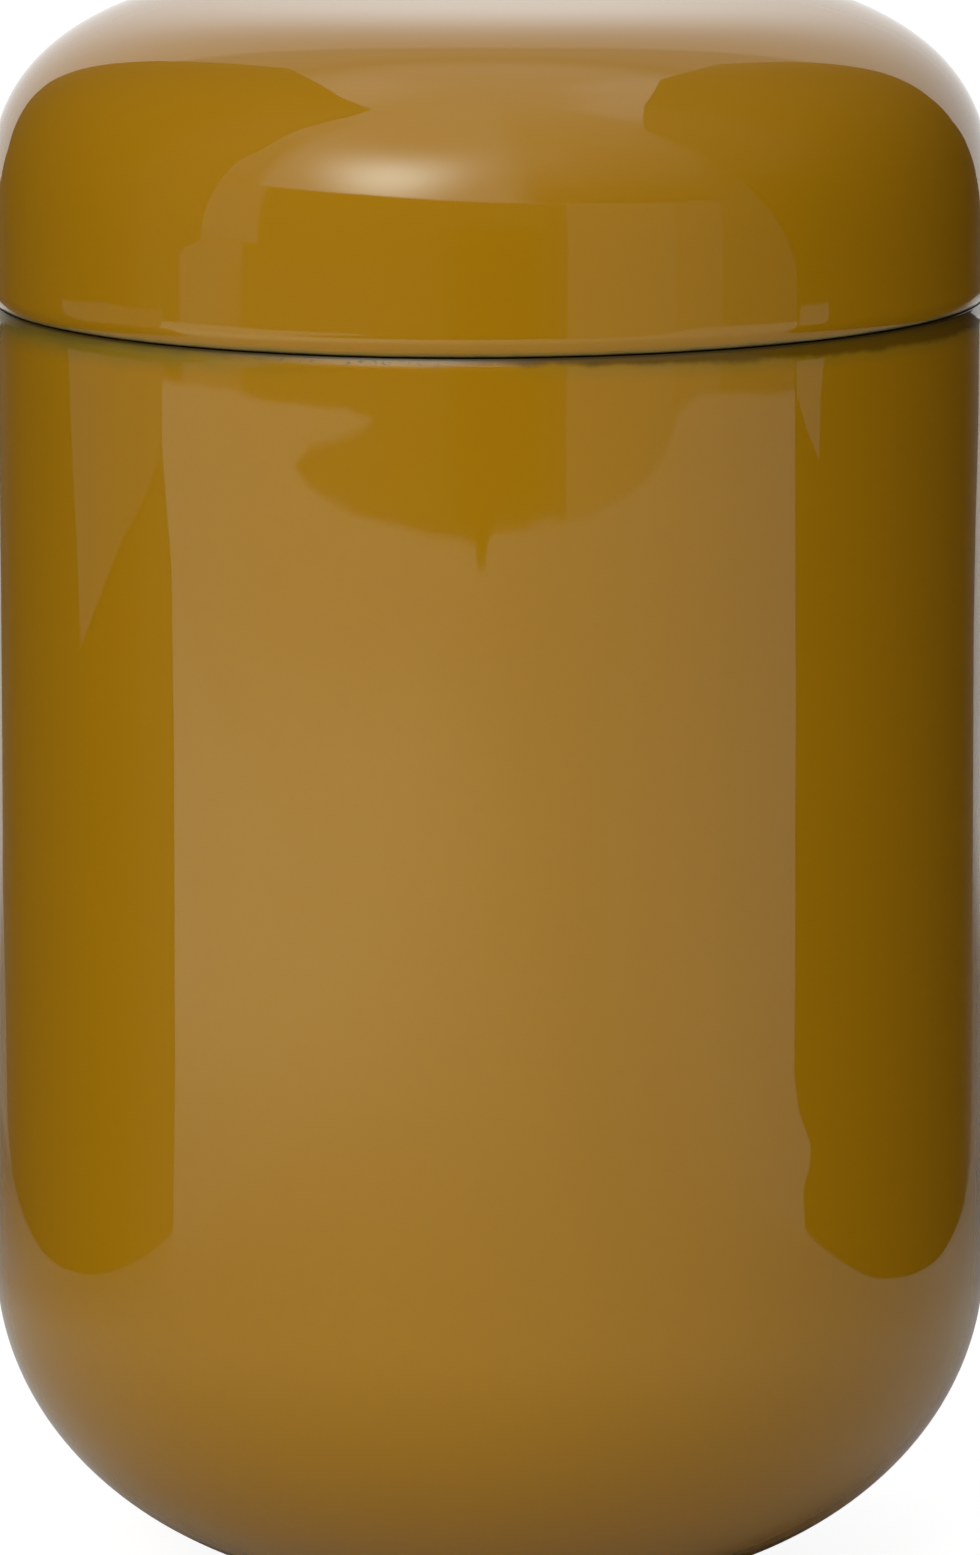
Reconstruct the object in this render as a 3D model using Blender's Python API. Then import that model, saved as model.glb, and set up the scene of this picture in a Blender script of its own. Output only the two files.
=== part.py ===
"""A drawn and enamelled steel storage canister with a domed lid.

Metres, +Z up. The origin is on the canister's axis, in the plane that it stands on.
Every piece is turned about that axis: the two shells are sheets of even thickness,
and the collar and the seal are solid rings.
"""

import math

import bmesh
import bpy

# The canister as a whole: its widest point, its rim, and the gap between pieces that touch
lid_radius = 0.0550
lid_overhang = 0.0005
rim_height = 0.1394
touch_gap = 0.0003

# The body's sheet, rolled rim and bottom
body_sheet = 0.0008
body_curl_inside = 0.00045
bottom_reach = 0.0419
bottom_rise = 0.0345
foot_cut = 0.0022
foot_ring_width = 0.0062
panel_lift = 0.0010
panel_slope_width = 0.0010

# The lid's sheet, rolled lip, straight side and dome
lid_sheet = 0.0008
lid_curl_inside = 0.0012
lid_straight = 0.0048
dome_rise = 0.0291
dome_power = 3.0

# The collar inside the lid
flange_height = 0.0050
flange_wall = 0.0010
flange_clearance = 0.0004
web_thickness = 0.0012
skirt_clearance = 0.0007
skirt_wall = 0.0018
skirt_depth = 0.0105
skirt_lead_in = 0.0008
groove_depth = 0.0010
groove_drop = 0.0005

# The silicone seal in the collar's groove
lip_reach = 0.0014
seal_height = 0.0036
lip_thickness = 0.0008
lip_droop = 0.0006

# How finely the round shapes are cut, how far an edge is rolled, and what counts as a corner
axis_merge = 0.00001
turn_steps = 64
curl_steps = 9
bottom_steps = 11
dome_steps = 12
curl_turn = math.radians(270)
corner_angle = math.radians(40)

# Places that follow from the sizes above
body_radius = lid_radius - lid_overhang
body_bead = body_curl_inside + body_sheet
mouth_radius = body_radius - 2 * body_bead
lid_bead = lid_curl_inside + lid_sheet
lid_bore = lid_radius - 2 * lid_bead
lid_lip_height = rim_height + touch_gap
lid_curl_top = lid_lip_height + 2 * lid_bead
dome_start = lid_lip_height + lid_bead + lid_straight
skirt_radius = min(lid_bore - skirt_clearance, mouth_radius - lip_reach - touch_gap)


def on_arc(centre_r, centre_z, radius, angle):
    """A point (r, z) of a circle, its angle measured from outward to up."""
    return (centre_r + radius * math.cos(angle), centre_z + radius * math.sin(angle))


def curl(centre_r, centre_z, radius, start, end):
    """The points of a rolled edge, from one angle to another."""
    turn = (end - start) / curl_steps
    return [on_arc(centre_r, centre_z, radius, start + turn * step) for step in range(curl_steps + 1)]


def bottom_curve():
    """The body's rounded bottom: a quarter ellipse, cut off flat where the body stands."""
    centre_r = body_radius - bottom_reach
    centre_z = bottom_rise - foot_cut
    end = math.asin(centre_z / bottom_rise)
    points = []
    for step in range(bottom_steps + 1):
        angle = end * step / bottom_steps
        points.append((centre_r + bottom_reach * math.cos(angle), centre_z - bottom_rise * math.sin(angle)))
    return points


def body_line():
    """The body's outer surface, from the end of its rolled rim down to the base's centre."""
    bead_r = body_radius - body_bead
    bead_z = rim_height - body_bead
    line = curl(bead_r, bead_z, body_bead, curl_turn, 0.0)
    line += bottom_curve()
    foot_radius = line[-1][0]
    ring_inside = foot_radius - foot_ring_width
    line[-1] = (foot_radius, 0.0)
    line.append((ring_inside, 0.0))
    line.append((ring_inside - panel_slope_width, panel_lift))
    line.append((0.0, panel_lift))
    return line


def dome_curve():
    """The lid's dome, from its top to its side: a superellipse with points spaced by angle."""
    points = []
    for step in range(dome_steps + 1):
        angle = math.pi / 2 * step / dome_steps
        r = lid_radius * math.sin(angle) ** (2 / dome_power)
        z = dome_start + dome_rise * max(math.cos(angle), 0.0) ** (2 / dome_power)
        points.append((r, z))
    return points


def lid_line():
    """The lid's outer surface, from the dome's top down to the end of its rolled lip."""
    bead_r = lid_radius - lid_bead
    bead_z = lid_lip_height + lid_bead
    return dome_curve() + curl(bead_r, bead_z, lid_bead, 0.0, -curl_turn)


def collar_outline():
    """The collar's section: a flange on the lid's side, a web, and a skirt with the seal's groove."""
    flange_radius = lid_radius - lid_sheet - flange_clearance
    web_bottom = lid_curl_top + touch_gap
    web_top = web_bottom + web_thickness
    skirt_inside = skirt_radius - skirt_wall
    skirt_end = rim_height - skirt_depth
    floor_radius = skirt_radius - groove_depth
    groove_top = rim_height - groove_drop
    groove_bottom = groove_top - seal_height - 2 * touch_gap
    return [
        (flange_radius - flange_wall, web_bottom + flange_height),
        (flange_radius, web_bottom + flange_height),
        (flange_radius, web_bottom),
        (skirt_radius, web_bottom),
        (skirt_radius, groove_top),
        (floor_radius, groove_top),
        (floor_radius, groove_bottom),
        (skirt_radius, groove_bottom),
        (skirt_radius, skirt_end + skirt_lead_in),
        (skirt_radius - skirt_lead_in, skirt_end),
        (skirt_inside, skirt_end),
        (skirt_inside, web_top),
        (flange_radius - flange_wall, web_top),
    ]


def seal_outline():
    """The seal's section: a band that fills the groove, with two lips that lie at the mouth's bore."""
    lip_radius = mouth_radius - touch_gap
    band_inside = skirt_radius - groove_depth + touch_gap
    band_outside = skirt_radius
    top = rim_height - groove_drop - touch_gap
    bottom = top - seal_height
    return [
        (band_inside, top),
        (band_outside, top),
        (lip_radius, top - lip_droop),
        (lip_radius, top - lip_droop - lip_thickness),
        (band_outside, top - 2 * lip_thickness),
        (band_outside, bottom + 2 * lip_thickness),
        (lip_radius, bottom + lip_thickness),
        (lip_radius, bottom),
        (band_outside, bottom),
        (band_inside, bottom),
    ]


def material(name, colour, roughness, metallic):
    """A plain finish for one kind of piece."""
    made = bpy.data.materials.new(name)
    made.use_nodes = True
    shader = made.node_tree.nodes["Principled BSDF"]
    shader.inputs["Base Color"].default_value = (*colour, 1.0)
    shader.inputs["Roughness"].default_value = roughness
    shader.inputs["Metallic"].default_value = metallic
    return made


def turned(name, points, closed, finish):
    """An object whose profile, points (r, z), is turned about the canister's axis."""
    profile = bmesh.new()
    row = [profile.verts.new((r, 0.0, z)) for r, z in points]
    for first, second in zip(row, row[1:]):
        profile.edges.new((first, second))
    if closed:
        profile.edges.new((row[-1], row[0]))
    mesh = bpy.data.meshes.new(name)
    profile.to_mesh(mesh)
    profile.free()
    mesh.materials.append(finish)
    piece = bpy.data.objects.new(name, mesh)
    bpy.context.scene.collection.objects.link(piece)
    screw = piece.modifiers.new("Turn", "SCREW")
    screw.axis = "Z"
    screw.angle = math.tau
    screw.steps = turn_steps
    screw.render_steps = turn_steps
    screw.use_smooth_shade = True
    screw.use_merge_vertices = True
    screw.merge_threshold = axis_merge
    return piece


def pressed_sheet(name, points, thickness, finish):
    """A turned sheet: its outer surface is the profile, and its thickness lies inside."""
    piece = turned(name, points, False, finish)
    wall = piece.modifiers.new("Sheet", "SOLIDIFY")
    wall.thickness = thickness
    wall.offset = -1.0
    wall.use_even_offset = True
    wall.use_rim = True
    return piece


def shade(piece):
    """Apply the modifiers, then shade the curves smooth and keep the corners sharp."""
    evaluated = piece.evaluated_get(bpy.context.evaluated_depsgraph_get())
    mesh = bpy.data.meshes.new_from_object(evaluated)
    piece.modifiers.clear()
    piece.data = mesh
    mesh.shade_smooth()
    mesh.set_sharp_from_angle(angle=corner_angle)


def build():
    """The whole canister: the body, and the lid's pieces on the axis that the lid lifts along."""
    for old in list(bpy.data.objects):
        bpy.data.objects.remove(old)
    enamel = material("mustard_enamel", (0.5, 0.235, 0.012), 0.12, 0.0)
    moulded = material("moulded_collar", (0.035, 0.032, 0.028), 0.45, 0.0)
    silicone = material("silicone", (0.12, 0.115, 0.105), 0.55, 0.0)

    body = pressed_sheet("body_shell", body_line(), body_sheet, enamel)
    lid_pieces = [
        pressed_sheet("lid_shell", lid_line(), lid_sheet, enamel),
        turned("lid_collar", collar_outline(), True, moulded),
        turned("seal_ring", seal_outline(), True, silicone),
    ]
    for piece in [body, *lid_pieces]:
        shade(piece)

    lid_axis = bpy.data.objects.new("lid_axis", None)
    lid_axis.location = (0.0, 0.0, lid_lip_height)
    bpy.context.scene.collection.objects.link(lid_axis)
    bpy.context.view_layer.update()
    for piece in lid_pieces:
        piece.parent = lid_axis
        piece.matrix_parent_inverse = lid_axis.matrix_world.inverted()


build()
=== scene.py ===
"""The storage canister's looks: enamel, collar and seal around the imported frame, on a pale studio table."""

import math

import bmesh
import bpy
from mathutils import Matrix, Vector
from mathutils.geometry import tessellate_polygon


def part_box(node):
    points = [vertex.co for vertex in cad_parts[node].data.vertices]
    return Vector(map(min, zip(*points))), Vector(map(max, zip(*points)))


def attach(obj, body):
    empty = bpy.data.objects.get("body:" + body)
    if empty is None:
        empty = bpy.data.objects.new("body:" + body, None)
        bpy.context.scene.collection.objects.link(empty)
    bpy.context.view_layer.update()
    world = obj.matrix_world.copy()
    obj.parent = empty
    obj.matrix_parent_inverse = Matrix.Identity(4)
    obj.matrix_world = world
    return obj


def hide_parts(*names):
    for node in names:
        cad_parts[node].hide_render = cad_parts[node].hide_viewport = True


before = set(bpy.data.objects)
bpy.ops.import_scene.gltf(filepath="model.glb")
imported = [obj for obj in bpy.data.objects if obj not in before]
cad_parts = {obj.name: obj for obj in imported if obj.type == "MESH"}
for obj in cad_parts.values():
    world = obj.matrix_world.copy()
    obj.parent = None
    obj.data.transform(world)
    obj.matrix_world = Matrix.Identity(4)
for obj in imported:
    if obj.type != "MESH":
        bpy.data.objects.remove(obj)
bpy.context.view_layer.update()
mm = 0.001

# The camera stands where the photograph's did
photo_height = 1555
focal_in_pixels = 15012.0
sensor_long_side = 36.0
camera_tilt = 0.157
camera_distance = 1650 * mm
look_height = 86 * mm
camera_reach = 20.0

# The shells' sections, from the frame's own boxes and the sheet that they are pressed from
_, body_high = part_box("body_shell")
lid_low, lid_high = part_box("lid_shell")
collar_low, collar_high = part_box("lid_collar")
seal_low, seal_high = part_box("seal_ring")
body_radius = body_high[0]
rim_height = body_high[2]
lid_radius = lid_high[0]
lip_height = lid_low[2]
sheet = 0.8 * mm
body_bead = 1.25 * mm
bottom_reach = 41.9 * mm
bottom_rise = 34.5 * mm
foot_cut = 2.2 * mm
foot_ring_width = 6.2 * mm
panel_lift = 1.0 * mm
foot_round = 0.9 * mm
lid_bead = 2.0 * mm
rim_lean_in = 0.32 * mm
rim_lean_power = 2.5
rim_fall = 2.0 * mm
rim_corner = 0.15 * mm
lip_round = 2.9 * mm
lip_corner = 0.35 * mm
lip_turn = math.radians(40)
dome_rise = 29.1 * mm
dome_power = 3.0
curl_end = math.radians(270)

# The closed lid sits a hair low, and its seam leans to the left
lip_drop = 0.14 * mm
seam_lean = 0.33 * mm
lean_reach = 12 * mm

# The collar and its seal
skirt_radius = 50.3 * mm
skirt_wall = 1.8 * mm
web_thickness = 1.2 * mm
flange_wall = 1.0 * mm
web_height = lip_height + 2 * lid_bead + 0.3 * mm
groove_depth = 1.0 * mm
groove_top = rim_height - 0.5 * mm
groove_bottom = groove_top - 4.2 * mm
lip_thickness = 0.8 * mm
lip_droop = 0.6 * mm
skirt_lead = 0.8 * mm
collar_round = 0.25 * mm
seal_round = 0.3 * mm
seal_clearance = 0.3 * mm

# The heights that part the linings from the outside, and a middle for each hollow
body_lining_top = rim_height - 2 * body_bead - 0.3 * mm
lid_lining_low = lip_height + 2 * lid_bead + 0.2 * mm
body_middle = 60 * mm
lid_middle = 150 * mm

turn_steps = 240
arc_steps = 14
corner_steps = 4
rim_steps = 12
rim_corner_steps = 8
lip_corner_steps = 6
bottom_steps = 40
wall_steps = 24
body_curl_steps = 18
lid_curl_steps = 20
side_steps = 5
dome_steps = 64

# A corner's curve takes no more than the side beside it, divided by this
side_parts = 2.2
# At a sharp corner, an inset line's distance is divided by no less than this
sharpest_inset = 0.5
# Points that are nearer than these lie on the axis, or are one point
on_axis = 1e-9
weld_reach = 1e-7


def arc(centre, radius, start, end, steps=arc_steps):
    """Points (r, z) on a circle's arc; radius is one number, or two for an ellipse."""
    wide, high = radius if isinstance(radius, tuple) else (radius, radius)
    return [
        (centre[0] + wide * math.cos(start + (end - start) * step / steps),
         centre[1] + high * math.sin(start + (end - start) * step / steps))
        for step in range(steps + 1)
    ]


def rounded(points, radius, closed=False, steps=corner_steps):
    """A polyline with each inner corner replaced by a small curve that starts a radius away."""
    result = []
    count = len(points)
    for place, point in enumerate(points):
        here = Vector(point)
        if not closed and place in (0, count - 1):
            result.append(point)
            continue
        before = Vector(points[place - 1]) - here
        after = Vector(points[(place + 1) % count]) - here
        reach = min(radius, before.length / side_parts, after.length / side_parts)
        first = here + before.normalized() * reach
        last = here + after.normalized() * reach
        for step in range(steps + 1):
            share = step / steps
            bend = first * (1 - share) ** 2 + here * 2 * share * (1 - share) + last * share ** 2
            result.append((bend.x, bend.y))
    return result


def inset(points, distance):
    """The line at an even distance to the left of a line, its ends kept on the canister's axis."""
    result = []
    for place, point in enumerate(points):
        here = Vector(point)
        before = (here - Vector(points[place - 1])).normalized() if place else None
        after = (Vector(points[place + 1]) - here).normalized() if place < len(points) - 1 else None
        before = before or after
        after = after or before
        along = (before + after).normalized()
        left = Vector((-along.y, along.x))
        reach = distance / max(left.dot(Vector((-before.y, before.x))), sharpest_inset)
        if point[0] < on_axis:
            result.append((0.0, point[1] + math.copysign(distance, left.y)))
        else:
            result.append(tuple(here + left * reach))
    return result


def as_piece(name, made):
    """An object in the scene from finished geometry."""
    mesh = bpy.data.meshes.new(name)
    made.to_mesh(mesh)
    made.free()
    piece = bpy.data.objects.new(name, mesh)
    bpy.context.scene.collection.objects.link(piece)
    return piece


def turned(name, outline, is_lining=None):
    """A closed outline turned about the canister's axis; is_lining picks the second finish's faces."""
    made = bmesh.new()
    row = [made.verts.new((r, 0.0, z)) for r, z in outline]
    for vert, follower in zip(row, row[1:] + row[:1]):
        if max(vert.co.x, follower.co.x) > on_axis:
            made.edges.new((vert, follower))
    bmesh.ops.spin(
        made, geom=made.verts[:] + made.edges[:], cent=(0, 0, 0), axis=(0, 0, 1),
        angle=math.tau, steps=turn_steps, use_merge=True,
    )
    bmesh.ops.remove_doubles(made, verts=made.verts, dist=weld_reach)
    bmesh.ops.recalc_face_normals(made, faces=made.faces)
    for face in made.faces:
        face.smooth = True
        if is_lining and is_lining(face):
            face.material_index = 1
    return as_piece(name, made)


def rim_shoulder():
    """The rim's outside: the wall leans in a little, then turns a tight corner to a flat top."""
    wall_top = rim_height - rim_fall
    corner_low = rim_height - rim_corner
    points = []
    for step in range(rim_steps + 1):
        share = step / rim_steps
        lean_in = rim_lean_in * share ** rim_lean_power
        points.append((body_radius - lean_in, wall_top + (corner_low - wall_top) * share))
    centre = (body_radius - rim_lean_in - rim_corner, corner_low)
    points += arc(centre, rim_corner, 0.0, math.pi / 2, rim_corner_steps)[1:]
    points.append((body_radius - body_bead, rim_height))
    return points


def body_line(rim):
    """A surface of the body, from the base's centre past the rim's given outside to the end of its curl."""
    corner = (body_radius - bottom_reach, bottom_rise - foot_cut)
    foot_angle = math.asin(corner[1] / bottom_rise)
    bottom = arc(corner, (bottom_reach, bottom_rise), -foot_angle, 0.0, bottom_steps)
    foot_radius = bottom[0][0]
    ring_inside = foot_radius - foot_ring_width
    panel = [(0.0, panel_lift), (ring_inside - panel_lift, panel_lift)]
    ring = [(ring_inside, 0.0), (foot_radius, 0.0)]
    base = rounded(panel + ring + [bottom[1]], foot_round)
    wall_top = rim[0][1]
    wall_rise = (wall_top - corner[1]) / wall_steps
    wall = [(body_radius, corner[1] + wall_rise * step) for step in range(1, wall_steps)]
    bead = (body_radius - body_bead, rim_height - body_bead)
    curl = arc(bead, body_bead, math.pi / 2, curl_end, body_curl_steps)
    return base[:-1] + bottom[1:] + wall + rim + curl[1:]


def lip_shoulder():
    """The lip's outside, upwards: a flat underside, a tight corner, then a wide round to the lid's side."""
    round_middle = lid_radius - lip_round
    corner_middle = round_middle + (lip_round - lip_corner) * math.cos(lip_turn)
    corner = (corner_middle, lip_height + lip_corner)
    low = arc(corner, lip_corner, -math.pi / 2, -lip_turn, lip_corner_steps)
    round_height = lip_height + lip_corner + (lip_round - lip_corner) * math.sin(lip_turn)
    return low + arc((round_middle, round_height), lip_round, -lip_turn, 0.0)[1:]


def lid_line(lip):
    """A surface of the lid, from the end of its curl past the lip's given outside to the dome's top."""
    bead = (lid_radius - lid_bead, lip_height + lid_bead)
    curl = arc(bead, lid_bead, -curl_end, -math.pi / 2, lid_curl_steps)
    dome_start = lid_high[2] - dome_rise
    side_start = lip[-1][1]
    side_rise = (dome_start - side_start) / side_steps
    side = [(lid_radius, side_start + side_rise * step) for step in range(1, side_steps)]
    dome = []
    for step in range(dome_steps + 1):
        angle = math.pi / 2 * step / dome_steps
        r = lid_radius * max(math.cos(angle), 0.0) ** (2 / dome_power)
        z = dome_start + dome_rise * math.sin(angle) ** (2 / dome_power)
        dome.append((r if step < dome_steps else 0.0, z))
    return curl[:-1] + lip + side + dome


def settled(piece, drop=0.0):
    """A turned piece whose rolled edge at the seam is let down a hair and leans to the left."""
    for vert in piece.data.vertices:
        near = max(0.0, 1.0 - abs(vert.co.z - rim_height) / lean_reach)
        share = near * near * (3.0 - 2.0 * near)
        vert.co.z -= share * (drop - seam_lean * vert.co.x / lid_radius)
    return piece


def body_outline():
    """The body's closed section: its outer surface, and behind it an inner one with a plain round rim."""
    round_rim = arc((body_radius - body_bead, rim_height - body_bead), body_bead, 0.0, math.pi / 2)
    return body_line(rim_shoulder()) + inset(body_line(round_rim), sheet)[::-1]


def lid_outline():
    """The lid's closed section: its outer surface, and behind it an inner one with a plain round lip."""
    round_lip = arc((lid_radius - lid_bead, lip_height + lid_bead), lid_bead, -math.pi / 2, 0.0)
    return lid_line(lip_shoulder()) + inset(lid_line(round_lip), sheet)[::-1]


def node_kit(tree):
    """A function that adds a node, sets its values and links, and returns the node."""
    tree.nodes.clear()

    def add(kind, *values, **settings):
        node = tree.nodes.new("ShaderNode" + kind)
        named = settings.pop("inputs", {})
        for key, value in settings.items():
            setattr(node, key, value)
        pairs = [(node.inputs[place], value) for place, value in enumerate(values)]
        pairs += [(node.inputs[key], value) for key, value in named.items()]
        for socket, value in pairs:
            if isinstance(value, bpy.types.NodeSocket):
                tree.links.new(value, socket)
            elif value is not None:
                socket.default_value = value
        return node

    return add


def arithmetic(add):
    """Short functions for sums, soft steps and soft windows in one node tree."""

    def calc(operation, *values):
        return add("Math", *values, operation=operation).outputs[0]

    def step(value, low, high):
        """0 at low and 1 at high, smooth between; low may be the larger."""
        return add("MapRange", value, low, high, 0.0, 1.0, interpolation_type="SMOOTHSTEP").outputs[0]

    def window(value, low, high, soft):
        rise = step(value, low - soft, low + soft)
        fall = step(value, high + soft, high - soft)
        return calc("MULTIPLY", rise, fall)

    def blend(mask, first, second):
        """The first number where the mask is 0, and the second where it is 1."""
        kept = calc("MULTIPLY", first, calc("SUBTRACT", 1.0, mask))
        return calc("ADD", kept, calc("MULTIPLY", mask, second))

    return calc, step, window, blend


def white_rays(add, calc, far):
    """1 for the camera's own rays, and for a mirror's or a glass's rays that reach the far part."""
    rays = add("LightPath").outputs
    mirrored = calc("MAXIMUM", rays["Is Glossy Ray"], rays["Is Transmission Ray"])
    return calc("MAXIMUM", rays["Is Camera Ray"], calc("MULTIPLY", mirrored, far))


def new_finish(name):
    """A material with its kit of nodes, its sums and its Object coordinates."""
    made = bpy.data.materials.new(name)
    made.use_nodes = True
    add = node_kit(made.node_tree)
    return made, add, arithmetic(add), add("TexCoord").outputs["Object"]


def noise(add, place, scale, detail=3.0, rough=0.5):
    """A noise between 0 and 1; its scale is in lumps to a metre."""
    return add("TexNoise", place, inputs={"Scale": scale, "Detail": detail, "Roughness": rough}).outputs[0]


white = (1.0, 1.0, 1.0, 1.0)

# The light that the studio's far parts give, by compass and height in degrees: 0 is towards the
# camera, and left is negative. Each entry lies over those before it: compass from and to,
# height from and to, softness across and up, brightness.
studio_zones = [
    ("ceiling", -200, 200, 59, 120, 1, 8, 1.05),
    ("over the left board", -150, -90, 66, 79, 14, 5, 1.35),
    ("over the right board", 64, 145, 64, 78, 8, 5, 1.45),
    ("high wall behind, left", -200, -138, 36, 58, 2, 3, 0.68),
    ("high wall behind, right", 138, 200, 36, 58, 2, 3, 0.68),
    ("left screen's side", -75, -54, 19.5, 57, 1, 8, 0.55),
    ("left screen's top", -75, -54, 47, 62, 1, 5, 0.78),
    ("left strip", -75, -54, -2, 19.5, 1, 0.7, 0.47),
    ("left strip, low", -75, -58, -30, -2, 1, 1, 0.40),
    ("floor beyond the table, left", -60, -24, -30, -6, 6, 2, 0.14),
    ("camera side", -9, 13, -30, 6, 5, 5, 0.03),
    ("right panel", 17.4, 43, -30, 19.5, 0.5, 1, 0.37),
    ("right panel's return", 43, 54.5, -30, 19.5, 0.5, 1, 0.29),
    ("far right", 54.5, 80, -30, 19.5, 0.5, 1, 0.17),
]
room_light = 0.09
screen_light = 1.13
screen_drop = 0.08
screen_drop_from = -30.0
slope_light = -0.10
slope_light_rise = 0.0133
slope_glow = 0.24
backdrop_edge = 139.0
backdrop_blur = 4.0
backdrop_top = 50.5
backdrop_sag = 0.012
backdrop_light = 0.8
halo_light = 1.03
halo_tint = (0.76, 0.90, 1.0, 1.0)
key_light = 6.75
key_tint = (0.98, 1.06, 0.95, 1.0)
key_compass = -25.3
key_height = 29.5
key_width = 11.0
key_rise = 9.0
key_arch = 0.014
key_cut = 19.4
screen_span = (-56, 30, 3)
slope_span = (7, 57, 7)
slope_spot = (12.0, 41.0, 9.0, 9.0)
halo_spot = (180.0, 28.0, 8.0, 8.5)
edge_blur = 0.7


def soft_spot(calc, across, upward):
    """1 where both are 0, and softly less away from there."""
    square = calc("ADD", calc("MULTIPLY", across, across), calc("MULTIPLY", upward, upward))
    return calc("EXPONENT", calc("MULTIPLY", square, -0.5))


def round_light(calc, compass, height, centre, centre_height, wide, tall):
    """A soft round light, by its middle and its reach in degrees."""
    across = calc("DIVIDE", calc("SUBTRACT", compass, centre), wide)
    upward = calc("DIVIDE", calc("SUBTRACT", height, centre_height), tall)
    return soft_spot(calc, across, upward)


def key_lamp(calc, compass, height, above_edge):
    """The key light: a soft spot that is arched like its screen, and cut off at the screen's edge."""
    off_key = calc("SUBTRACT", compass, key_compass)
    arched = calc("SUBTRACT", height, calc("MULTIPLY", calc("MULTIPLY", off_key, off_key), key_arch))
    across = calc("DIVIDE", off_key, key_width)
    upward = calc("DIVIDE", calc("SUBTRACT", arched, key_height), key_rise)
    return calc("MULTIPLY", soft_spot(calc, across, upward), above_edge)


def studio_walls(sums, compass, height, above_edge):
    """The light of the room, its panels and its screens, before the backdrop and the lamps."""
    calc, _, window, blend = sums
    light = room_light
    for _, left, right, low, high, across, up, brightness in studio_zones:
        mask = calc("MULTIPLY", window(compass, left, right, across), window(height, low, high, up))
        light = blend(mask, light, brightness)
    light = blend(calc("MULTIPLY", window(compass, *screen_span), above_edge), light, screen_light)
    rising = calc("ADD", calc("MULTIPLY", height, slope_light_rise), slope_light)
    spot = round_light(calc, compass, height, *slope_spot)
    rising = calc("ADD", rising, calc("MULTIPLY", spot, slope_glow))
    return blend(calc("MULTIPLY", window(compass, *slope_span), above_edge), light, rising)


def make_world():
    """The studio around the canister; a camera, a mirror and a glass see the same white backdrop."""
    world = bpy.data.worlds.new("studio_light")
    bpy.context.scene.world = world
    world.use_nodes = True
    add = node_kit(world.node_tree)
    sums = arithmetic(add)
    calc, step, _, blend = sums
    parts = add("SeparateXYZ", add("TexCoord").outputs["Generated"]).outputs
    compass = calc("DEGREES", calc("ARCTAN2", parts["X"], calc("MULTIPLY", parts["Y"], -1.0)))
    height = calc("DEGREES", calc("ARCSINE", parts["Z"]))
    around = calc("ABSOLUTE", compass)
    drop = calc("MULTIPLY", calc("MAXIMUM", calc("SUBTRACT", compass, screen_drop_from), 0.0), screen_drop)
    above_edge = step(calc("ADD", height, drop), key_cut - edge_blur, key_cut + edge_blur)
    off_centre = calc("SUBTRACT", 180.0, around)
    sag = calc("MULTIPLY", calc("MULTIPLY", off_centre, off_centre), backdrop_sag)
    under_top = step(calc("ADD", height, sag), backdrop_top + edge_blur, backdrop_top - edge_blur)
    behind = calc("MULTIPLY", step(around, backdrop_edge, backdrop_edge + backdrop_blur), under_top)
    light = blend(behind, studio_walls(sums, compass, height, above_edge), backdrop_light)
    key = key_lamp(calc, compass, height, above_edge)
    halo = calc("MULTIPLY", round_light(calc, around, height, *halo_spot), behind)
    unseen = calc("SUBTRACT", 1.0, add("LightPath").outputs["Is Camera Ray"])
    studio = add("Background", white, blend(white_rays(add, calc, behind), light, 1.0))
    lamp = add("Background", key_tint, calc("MULTIPLY", calc("MULTIPLY", key, key_light), unseen))
    back_lamp = add("Background", halo_tint, calc("MULTIPLY", calc("MULTIPLY", halo, halo_light), unseen))
    lamps = add("AddShader", lamp.outputs[0], back_lamp.outputs[0])
    both = add("AddShader", studio.outputs[0], lamps.outputs[0])
    add("OutputWorld", both.outputs[0])


# The table top lies a hair under the foot, so that the two faces never share one plane
table_gap = 0.03 * mm

# The white table top's outline as (x, y) in millimetres, its cut front edge first
table_outline = [
    (-1090, -190), (-1015, -405), (-950, -540), (-730, -785), (-570, -900), (-450, -945), (-530, -880),
    (-655, -765), (-690, -697), (-640, -715), (-515, -780), (-330, -855), (-140, -889), (-51, -889),
    (-40, -864), (-17, -864), (-7, -890), (20, -907), (195, -900), (350, -853), (405, -843), (570, -786),
    (630, -770), (710, -770), (785, -740), (830, -700), (915, -575), (945, -510), (1020, -325), (1100, 300),
    (1000, 3000), (-1000, 3000), (-1100, 300),
]

# The black boards beside the canister, as (y, height) in millimetres, and the line each stands on
left_board_outline = [
    (-87, 0), (-91, 20), (-91, 58), (-88, 83), (-80, 93), (-76, 98), (-76, 106), (-85, 122), (-138, 139),
    (-150, 240), (-156, 330), (-171, 392), (-160, 560), (-160, 833), (-123, 1011), (28, 787), (85, 740),
    (215, 600), (215, 437), (216, 331), (219, 240), (213, 209), (205, 186), (196, 161), (206, 140),
    (228, 122), (255, 100), (255, 82), (248, 68), (242, 48), (242, 30), (223, 14), (215, 3), (192, 0),
]
right_board_outline = [
    (-90, 0), (-93, 5), (-83, 9), (-83, 12), (-98, 14), (-106, 18), (-106, 65), (-109, 102), (-111, 119),
    (-130, 143), (-165, 206), (-187, 270), (-205, 400), (-236, 560), (-240, 714), (-146, 755), (-37, 757),
    (150, 680), (215, 522), (203, 399), (184, 300), (165, 232), (163, 197), (174, 165), (187, 141),
    (200, 124), (228, 110), (222, 92), (207, 82), (199, 70), (200, 30), (201, 12), (192, 3), (166, 0),
]
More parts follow.
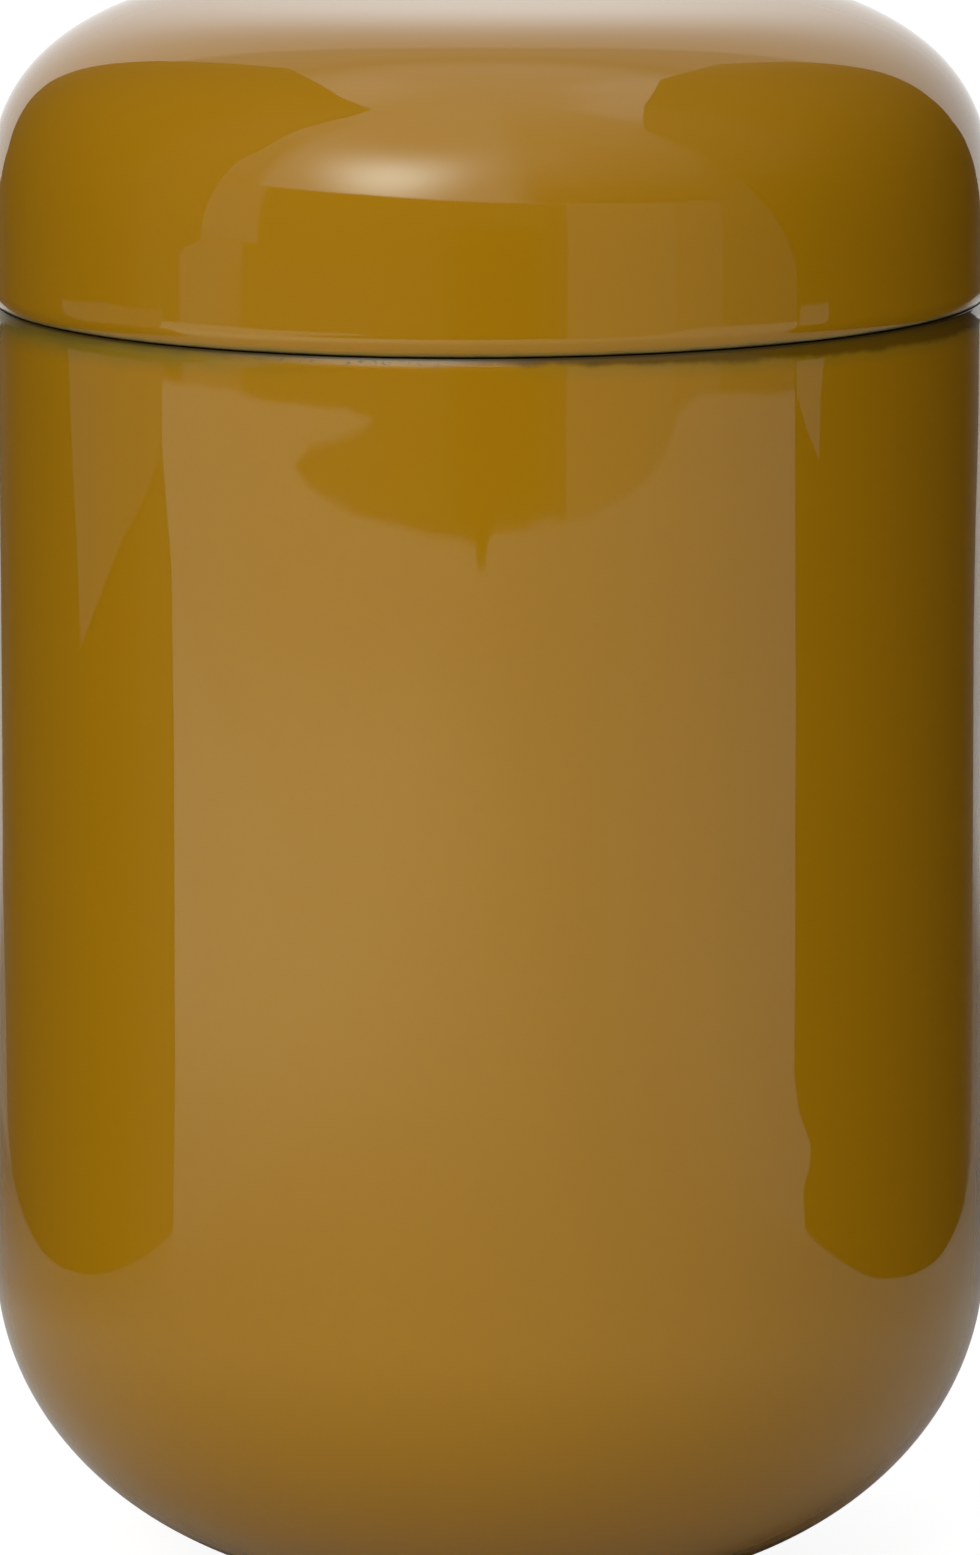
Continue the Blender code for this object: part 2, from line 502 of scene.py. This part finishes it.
left_card_outline = [
    (31, 77), (36, 90), (41, 99), (50, 119), (-2, 119), (-65, 116), (-82, 115), (-76, 106), (-76, 98),
    (-50, 93), (-21, 89), (5, 83),
]
right_card_outline = [
    (-106, 103), (-94, 100), (-74, 97), (-72, 105), (-66, 113), (-66, 117), (-104, 114), (-107, 112),
]
card_offset = 1.0
left_board_line = (-250, -60, 0.29)
right_board_line = (255, -80, -0.316)


def flat_piece(name, corners, finish):
    """One flat face with many corners, as a stage piece."""
    made = bmesh.new()
    row = [made.verts.new(corner) for corner in corners]
    for corner in tessellate_polygon([[Vector(corner) for corner in corners]]):
        made.faces.new([row[place] for place in corner])
    bmesh.ops.recalc_face_normals(made, faces=made.faces)
    piece = as_piece(name, made)
    piece.data.materials.append(finish)
    return piece


# How much light the paper gives back, with painted shade: darker under the canister and near it than far
# behind, and darkest in a painted shadow behind it.
# A span of two numbers is where a soft step begins and ends, in metres.
paper_shaded_under = 0.66
paper_near = 0.78
paper_far = 0.92
paper_in_shadow = 0.30
under_ends = (0.05, 0.13)
far_begins = (0.3, 0.55)
shadow_span = (0.15, 0.40, 0.07)
white_begins = (0.9, 1.8)

# The light that the screens throw on the table in front, strongest on the left
pool_tint = (0.92, 0.90, 0.62, 1.0)
pool_right = 0.18
pool_left = 0.84
pool_far_share = 0.45
pool_across = (0.2, -0.3)
pool_begins = (0.22, 0.48)
pool_fades = (0.58, 0.85)
pool_front = (0.2, -0.1)
pool_clouds = (0.85, 1.15)
cloud_noise = (5.0, 2.0)
camera_paper = (0.22, 0.22, 0.22, 1.0)
camera_paper_light = 0.93


def table_finish():
    """White paper, brighter where the screens light it, with the canister's shadow behind.

    The camera sees it white with a soft shadow, and mirrors and glass see its far part so too.
    """
    made, add, sums, place = new_finish("table_paper")
    calc, step, window, blend = sums
    parts = add("SeparateXYZ", place).outputs
    reach = add("VectorMath", place, operation="LENGTH").outputs["Value"]
    cloud = noise(add, place, *cloud_noise)
    # Painted shade: darker near and under the canister, with a painted shadow band behind it
    open_shade = blend(step(parts["Y"], *far_begins), paper_near, paper_far)
    shade = blend(step(reach, *under_ends), paper_shaded_under, open_shade)
    shade = blend(window(parts["Y"], *shadow_span), shade, paper_in_shadow)
    paper = add("BsdfDiffuse", add("CombineColor", shade, shade, shade).outputs[0])
    lit = blend(step(parts["X"], *pool_across), pool_right, pool_left)
    lit = calc("MULTIPLY", lit, step(reach, *pool_begins))
    lit = calc("MULTIPLY", lit, blend(step(reach, *pool_fades), 1.0, pool_far_share))
    lit = calc("MULTIPLY", lit, step(parts["Y"], *pool_front))
    lit = calc("MULTIPLY", lit, blend(cloud, *pool_clouds))
    pool = add("AddShader", paper.outputs[0], add("Emission", pool_tint, lit).outputs[0])
    soft = add("BsdfDiffuse", camera_paper)
    shown = add("AddShader", soft.outputs[0], add("Emission", white, camera_paper_light).outputs[0])
    far_off = step(parts["Y"], *white_begins)
    both = add("MixShader", white_rays(add, calc, far_off), pool.outputs[0], shown.outputs[0])
    add("OutputMaterial", both.outputs[0])
    return made


# Where a board grows lighter: at its far edge, high up, and at its front edge, in metres
board_edge = (0.12, 0.23)
board_high = (0.12, 0.60)
board_front = (0.0, -0.08)
board_front_rise = 0.12


def board_finish(name, brightness, glow, edge_glow=0.0, high_glow=0.0, front_glow=0.0, front_from=0.0):
    """Felt or card that the camera doesn't see: an even grey, lighter at its edges and high up."""
    made, add, sums, place = new_finish(name)
    calc, step, *_ = sums
    parts = add("SeparateXYZ", place).outputs
    near_edge = step(parts["Y"], *board_edge)
    own_light = calc("ADD", calc("MULTIPLY", calc("MULTIPLY", near_edge, near_edge), edge_glow), glow)
    own_light = calc("ADD", own_light, calc("MULTIPLY", step(parts["Z"], *board_high), high_glow))
    up_front = step(parts["Z"], front_from, front_from + board_front_rise)
    front = calc("MULTIPLY", step(parts["Y"], *board_front), up_front)
    own_light = calc("ADD", own_light, calc("MULTIPLY", front, front_glow))
    felt = add("BsdfDiffuse", (brightness, brightness, brightness, 1.0))
    own = add("Emission", white, own_light)
    both = add("AddShader", felt.outputs[0], own.outputs[0])
    add("OutputMaterial", both.outputs[0])
    return made


def standing_piece(name, outline, line, finish, nearer=0.0):
    """A flat piece that stands on a line beside the canister; nearer moves it towards the canister."""
    x, y, lean = line
    side = math.copysign(nearer, -x)
    corners = [((x + side + lean * (along - y)) * mm, along * mm, height * mm) for along, height in outline]
    piece = flat_piece(name, corners, finish)
    piece.visible_camera = False


def make_stage():
    """The table top, and the boards and cards that the enamel mirrors."""
    table = [(x * mm, y * mm, -table_gap) for x, y in table_outline]
    flat_piece("table_top", table, table_finish())
    left_felt = board_finish(
        "left_felt", brightness=0.03, glow=0.012,
        edge_glow=0.06, high_glow=0.08, front_glow=0.07, front_from=-0.1,
    )
    right_felt = board_finish(
        "right_felt", brightness=0.015, glow=0.0,
        edge_glow=0.16, high_glow=0.12, front_glow=0.07, front_from=0.2,
    )
    grey_card = board_finish("grey_card", brightness=0.1, glow=0.2)
    pale_card = board_finish("pale_card", brightness=0.2, glow=0.3)
    standing_piece("left_board", left_board_outline, left_board_line, left_felt)
    standing_piece("right_board", right_board_outline, right_board_line, right_felt)
    standing_piece("left_card", left_card_outline, left_board_line, grey_card, card_offset)
    standing_piece("right_card", right_card_outline, right_board_line, pale_card, card_offset)


def make_camera():
    """A long lens that looks a little down on the canister."""
    data = bpy.data.cameras.new("camera")
    data.lens = focal_in_pixels / photo_height * sensor_long_side
    data.sensor_width = sensor_long_side
    data.clip_end = camera_reach
    camera = bpy.data.objects.new("camera", data)
    camera.location = (
        0.0,
        -camera_distance * math.cos(camera_tilt),
        look_height + camera_distance * math.sin(camera_tilt),
    )
    camera.rotation_euler = (math.pi / 2 - camera_tilt, 0.0, 0.0)
    bpy.context.scene.collection.objects.link(camera)
    bpy.context.scene.camera = camera
    bpy.context.scene.view_settings.view_transform = "Standard"


mustard = (0.441, 0.205, 0.0028, 1.0)
mustard_deep = (0.355, 0.158, 0.0019, 1.0)
# Painted shade: the mustard in the shadow of the lid's lip
mustard_painted_shade = (0.140, 0.065, 0.001, 1.0)
olive = (0.200, 0.150, 0.017, 1.0)
umber = (0.105, 0.062, 0.009, 1.0)
# Dark brown for the rim's top in the seam: the enamel's dark edge, and painted shade of the gap
burnt_edge_and_shade = (0.065, 0.038, 0.006, 1.0)
iron = (0.030, 0.021, 0.010, 1.0)
pale_chip = (0.60, 0.50, 0.26, 1.0)
cream = (0.76, 0.72, 0.62, 1.0)
cream_deep = (0.66, 0.61, 0.50, 1.0)
collar_black = (0.034, 0.031, 0.027, 1.0)
collar_black_deep = (0.022, 0.020, 0.017, 1.0)
seal_grey = (0.135, 0.130, 0.120, 1.0)
seal_grey_deep = (0.105, 0.100, 0.092, 1.0)

# The finishes' noises, as scale, detail and roughness
patch_noise = (30.0, 2.0)
peel_noise = (320.0, 2.0)
swell_noise = (45.0, 1.0)
wiping_noise = (90.0, 4.0, 0.6)
rim_noise = (240.0, 5.0, 0.6)
lip_noise = (260.0, 5.0, 0.6)
crumb_noise = (1300.0, 3.0, 0.6)
cream_noise = (35.0, 3.0)
lining_edge_noise = (200.0, 4.0)
moulded_noise = (60.0, 3.0)

# The enamel's and the mouldings' skins
peel_share = 0.06
peel_strength = 0.05
peel_depth = 0.4 * mm
enamel_ior = 1.5
mould_strength = 0.35
mould_ior = 1.48

# A finish's spans: where a soft step begins and ends, as a depth or height, or as a share of the
# way from the middle to the side, where left is negative. A third number is a window's softness.
enamel_roughness = (0.012, 0.034)
dulled_roughness = 0.42
patches = 0.22
speck = {"scale": 42.0, "size": 0.18 * mm, "share": 0.55}
left_side = (-0.2, -0.72)
right_side = (-0.15, 0.0)
rim_ragged = 1.2 * mm
olive_left = 0.85
olive_right = 0.75
olive_right_side = (-0.15, 0.5)
olive_depth = 2.9 * mm
olive_depth_at_side = 1.2 * mm
olive_fade = (1.0, 0.08)
# The painted shade under the lid's lip on the right: its depth, its growth to the right, its fade and its
# strength
painted_shade_depth = 0.33 * mm
painted_shade_depth_to_right = 1.6 * mm
painted_shade_fade = (0.55 * mm, -0.25 * mm)
painted_shade_strength = 0.88
far_left_side = (-0.72, -0.92)
far_left_depth = (1.9 * mm, 0.8 * mm)
far_left_strength = 0.35
crumb_grain = (0.56, 0.64)
crumb_depth = (0.1 * mm, 0.7 * mm, 0.15 * mm)
crumb_side = (-0.55, -0.12, 0.08)
crumb_strength = 0.75
# Umber towards the rim's top: the enamel's thin dark edge, with painted shade under the lid's lip
umber_shade_depth = (1.1 * mm, 0.0)
umber_shade_strength = 0.7
# The rim's top in the seam: its dark edge, with painted shade of the gap
burnt_edge_and_shade_depth = (0.34 * mm, 0.14 * mm)
dull_depth = (1.7 * mm, 0.6 * mm)
dull_strength = (0.8, 0.1)
foot_ragged = 0.5 * mm
foot_worn = (0.26 * mm, 0.10 * mm)
lip_ragged = 0.5 * mm
lip_olive = (0.65 * mm, 0.1 * mm)
# The lip's lowest edge turns umber: its thin dark edge, with painted shade of the seam
lip_umber_and_shade = (0.26 * mm, 0.02 * mm)
lip_dull = (0.5 * mm, 0.15 * mm)
lip_dull_strength = 0.8
chip = {"scale": 420.0, "size": 0.24 * mm, "share": 0.55}
chip_height = (-0.05 * mm, 0.30 * mm, 0.08 * mm)
lining_speck = {"scale": 60.0, "size": 0.2 * mm, "share": 0.4}
lining_ragged = 1.5 * mm
lining_thin = (2.2 * mm, 0.7 * mm)
mould_roughness_range = 0.14


def tinted(add, mask, first, second, strength=None):
    """The first colour where the mask is 0, and the second, or a share of it, where it is 1."""
    if strength is not None:
        mask = add("Math", mask, strength, operation="MULTIPLY").outputs[0]
    return add("MixRGB", mask, first, second).outputs[0]


def uneven(calc, height, ragged, reach):
    """A height or depth that wanders by up to half a reach each way."""
    return calc("ADD", height, calc("MULTIPLY", calc("SUBTRACT", ragged, 0.5), reach))


def mustard_ground(add, place):
    """Mustard enamel, a little deeper in broad patches."""
    return tinted(add, noise(add, place, *patch_noise), mustard, mustard_deep, patches)


def specks(add, sums, place, scale, size, share):
    """Round specks, at most one to a cell of the given scale; share is how many cells have none."""
    calc, step, *_ = sums
    cells = add("TexVoronoi", place, inputs={"Scale": scale, "Randomness": 1.0})
    chosen = add("SeparateColor", cells.outputs["Color"]).outputs[0]
    reach = size * scale
    dot = step(cells.outputs["Distance"], reach, reach / 2)
    return calc("MULTIPLY", dot, calc("GREATER_THAN", chosen, share))


def glassy(made, add, sums, place, colour, dulled=None):
    """Fired enamel's skin: smooth and glassy, with a faint orange peel and faint wiping marks.

    Where dulled is 1, the enamel is thin and pitted, as on a rolled edge.
    """
    blend = sums[-1]
    peel = noise(add, place, *peel_noise)
    swell = noise(add, place, *swell_noise)
    relief = add("Math", peel, peel_share, swell, operation="MULTIPLY_ADD").outputs[0]
    skin = add("Bump", inputs={"Strength": peel_strength, "Distance": peel_depth, "Height": relief})
    wiped = blend(noise(add, place, *wiping_noise), *enamel_roughness)
    if dulled:
        wiped = blend(dulled, wiped, dulled_roughness)
    shader = add("BsdfPrincipled", inputs={
        "Base Color": colour, "Roughness": wiped, "IOR": enamel_ior, "Normal": skin.outputs[0],
    })
    add("OutputMaterial", shader.outputs[0])
    return made


def rim_bands_and_shade(add, sums, colour, sideways, right, depth):
    """The body's enamel under its rim: olive at both sides, painted shade of the lid's lip over the olive on
    the right, and umber at the far left.
    """
    calc, step, *_ = sums
    olive_share = calc("ADD", calc("MULTIPLY", step(sideways, *left_side), olive_left),
                       calc("MULTIPLY", step(sideways, *olive_right_side), olive_right))
    square = calc("MULTIPLY", sideways, sideways)
    olive_end = calc("ADD", calc("MULTIPLY", square, olive_depth_at_side), olive_depth)
    olive_band = calc("MULTIPLY", step(calc("DIVIDE", depth, olive_end), *olive_fade), olive_share)
    colour = tinted(add, olive_band, colour, olive)
    # On the right, painted shade of the lid's lip darkens a band below the rim, deeper towards the right
    painted_shade_end = calc("ADD", calc("MULTIPLY", sideways, painted_shade_depth_to_right), painted_shade_depth)
    painted_shade_band = calc("MULTIPLY", step(calc("SUBTRACT", depth, painted_shade_end), *painted_shade_fade), right)
    colour = tinted(add, painted_shade_band, colour, mustard_painted_shade, painted_shade_strength)
    far_left = calc("MULTIPLY", step(sideways, *far_left_side), step(depth, *far_left_depth))
    return tinted(add, far_left, colour, umber, far_left_strength)


def body_enamel():
    """Mustard enamel that runs thin and dark towards the rim, with painted shade there under the lid's lip,
    and is worn to the ground on the foot.
    """
    made, add, sums, place = new_finish("body_mustard_enamel")
    calc, step, window, blend = sums
    parts = add("SeparateXYZ", place).outputs
    ragged = noise(add, place, *rim_noise)
    sideways = calc("DIVIDE", parts["X"], body_radius)
    right = step(sideways, *right_side)
    rim_here = calc("ADD", calc("MULTIPLY", sideways, seam_lean), rim_height)
    clean_depth = calc("SUBTRACT", rim_here, parts["Z"])
    depth = uneven(calc, clean_depth, ragged, rim_ragged)
    colour = rim_bands_and_shade(add, sums, mustard_ground(add, place), sideways, right, depth)
    crumbs = step(noise(add, place, *crumb_noise), *crumb_grain)
    crumbs = calc("MULTIPLY", crumbs, window(clean_depth, *crumb_depth))
    crumbs = calc("MULTIPLY", crumbs, window(sideways, *crumb_side))
    colour = tinted(add, crumbs, colour, umber, crumb_strength)
    # Umber towards the rim's top: thin dark enamel, and painted shade under the lid's lip
    colour = tinted(add, step(depth, *umber_shade_depth), colour, umber, umber_shade_strength)
    # The rim's top in the seam's gap: the enamel's dark edge, and painted shade
    colour = tinted(add, step(clean_depth, *burnt_edge_and_shade_depth), colour, burnt_edge_and_shade)
    colour = tinted(add, specks(add, sums, place, **speck), colour, umber)
    worn = step(uneven(calc, parts["Z"], ragged, foot_ragged), *foot_worn)
    colour = tinted(add, worn, colour, iron)
    dulled = calc("MULTIPLY", step(depth, *dull_depth), blend(right, *dull_strength))
    return glassy(made, add, sums, place, colour, calc("MAXIMUM", dulled, worn))


def lid_enamel():
    """Mustard enamel, with its rolled lip a little olive and chipped, and its lowest edge umber with painted
    shade of the seam.
    """
    made, add, sums, place = new_finish("lid_mustard_enamel")
    calc, step, window, _ = sums
    parts = add("SeparateXYZ", place).outputs
    ragged = noise(add, place, *lip_noise)
    lip_here = calc("ADD", calc("MULTIPLY", parts["X"], seam_lean / lid_radius), lip_height - lip_drop)
    above = calc("SUBTRACT", parts["Z"], lip_here)
    rough_above = uneven(calc, above, ragged, lip_ragged)
    colour = tinted(add, step(rough_above, *lip_olive), mustard_ground(add, place), olive)
    chips = calc("MULTIPLY", specks(add, sums, place, **chip), window(above, *chip_height))
    colour = tinted(add, chips, colour, pale_chip)
    # The lip's lowest edge: thin dark enamel, and painted shade of the seam
    colour = tinted(add, step(rough_above, *lip_umber_and_shade), colour, umber)
    colour = tinted(add, specks(add, sums, place, **speck), colour, umber)
    dulled = calc("MULTIPLY", step(rough_above, *lip_dull), lip_dull_strength)
    return glassy(made, add, sums, place, colour, dulled)


def lining_enamel():
    """The warm white enamel inside, greyer and thinner where it meets the rim."""
    made, add, sums, place = new_finish("cream_enamel")
    calc, step, *_ = sums
    parts = add("SeparateXYZ", place).outputs
    colour = tinted(add, noise(add, place, *cream_noise), cream, cream_deep)
    off_rim = calc("ABSOLUTE", calc("SUBTRACT", rim_height - 2 * body_bead, parts["Z"]))
    ragged = noise(add, place, *lining_edge_noise)
    off_rim = calc("ADD", off_rim, calc("MULTIPLY", ragged, lining_ragged))
    colour = tinted(add, step(off_rim, *lining_thin), colour, iron)
    colour = tinted(add, specks(add, sums, place, **lining_speck), colour, umber)
    return glassy(made, add, sums, place, colour)


def moulded(name, colour, deeper, roughness, grain, depth):
    """A moulded finish: nearly even colour, with a fine grain from the mould."""
    made, add, sums, place = new_finish(name)
    blend = sums[-1]
    varied = tinted(add, noise(add, place, *moulded_noise), colour, deeper)
    fine = noise(add, place, grain)
    skin = add("Bump", inputs={"Strength": mould_strength, "Distance": depth, "Height": fine})
    rough = blend(fine, roughness, roughness + mould_roughness_range)
    shader = add("BsdfPrincipled", inputs={
        "Base Color": varied, "Roughness": rough, "IOR": mould_ior, "Normal": skin.outputs[0],
    })
    add("OutputMaterial", shader.outputs[0])
    return made


def faces_hollow(low, high, hollow):
    """A test for the faces that look into a shell's hollow, between two heights."""

    def looks_in(face):
        middle = face.calc_center_median()
        return low < middle.z < high and face.normal.dot(Vector((0.0, 0.0, hollow)) - middle) > 0

    return looks_in


def collar_outline():
    """The collar's section: a flange on the lid's side, a web, and a skirt with the seal's groove."""
    outside = collar_high[0]
    skirt_end = collar_low[2]
    floor = skirt_radius - groove_depth
    inside = skirt_radius - skirt_wall
    points = [
        (outside - flange_wall, collar_high[2]), (outside, collar_high[2]), (outside, web_height),
        (skirt_radius, web_height), (skirt_radius, groove_top), (floor, groove_top), (floor, groove_bottom),
        (skirt_radius, groove_bottom), (skirt_radius, skirt_end + skirt_lead),
        (skirt_radius - skirt_lead, skirt_end),
        (inside, skirt_end), (inside, web_height + web_thickness),
        (outside - flange_wall, web_height + web_thickness),
    ]
    return rounded(points, collar_round, closed=True)


def seal_outline():
    """The seal's section: a band in the groove, with two lips that reach for the mouth."""
    reach = seal_high[0]
    top, bottom = seal_high[2], seal_low[2]
    inside = skirt_radius - groove_depth + seal_clearance
    points = [
        (inside, top), (skirt_radius, top), (reach, top - lip_droop),
        (reach, top - lip_droop - lip_thickness),
        (skirt_radius, top - 2 * lip_thickness), (skirt_radius, bottom + 2 * lip_thickness),
        (reach, bottom + lip_thickness), (reach, bottom), (skirt_radius, bottom), (inside, bottom),
    ]
    return rounded(points, seal_round, closed=True)


def make_canister():
    inner = lining_enamel()
    resin = moulded(
        "moulded_collar", collar_black, collar_black_deep, roughness=0.34, grain=1500.0, depth=0.02 * mm)
    silicone = moulded("silicone", seal_grey, seal_grey_deep, roughness=0.5, grain=2500.0, depth=0.01 * mm)
    body_inside = faces_hollow(-math.inf, body_lining_top, body_middle)
    lid_inside = faces_hollow(lid_lining_low, math.inf, lid_middle)
    body = settled(turned("body", body_outline(), body_inside))
    lid = settled(turned("lid", lid_outline(), lid_inside), lip_drop)
    collar = turned("collar", collar_outline())
    seal = turned("seal", seal_outline())
    for piece, node, rides, slot, finishes in (
        (body, "body_shell", "canister", "enamel", (body_enamel(), inner)),
        (lid, "lid_shell", "lid", "enamel", (lid_enamel(), inner)),
        (collar, "lid_collar", "lid", "collar", (resin,)),
        (seal, "seal_ring", "lid", "silicone", (silicone,)),
    ):
        for finish in finishes:
            piece.data.materials.append(finish)
        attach(piece, rides)
        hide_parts(node)


make_camera()
make_world()
make_stage()
make_canister()
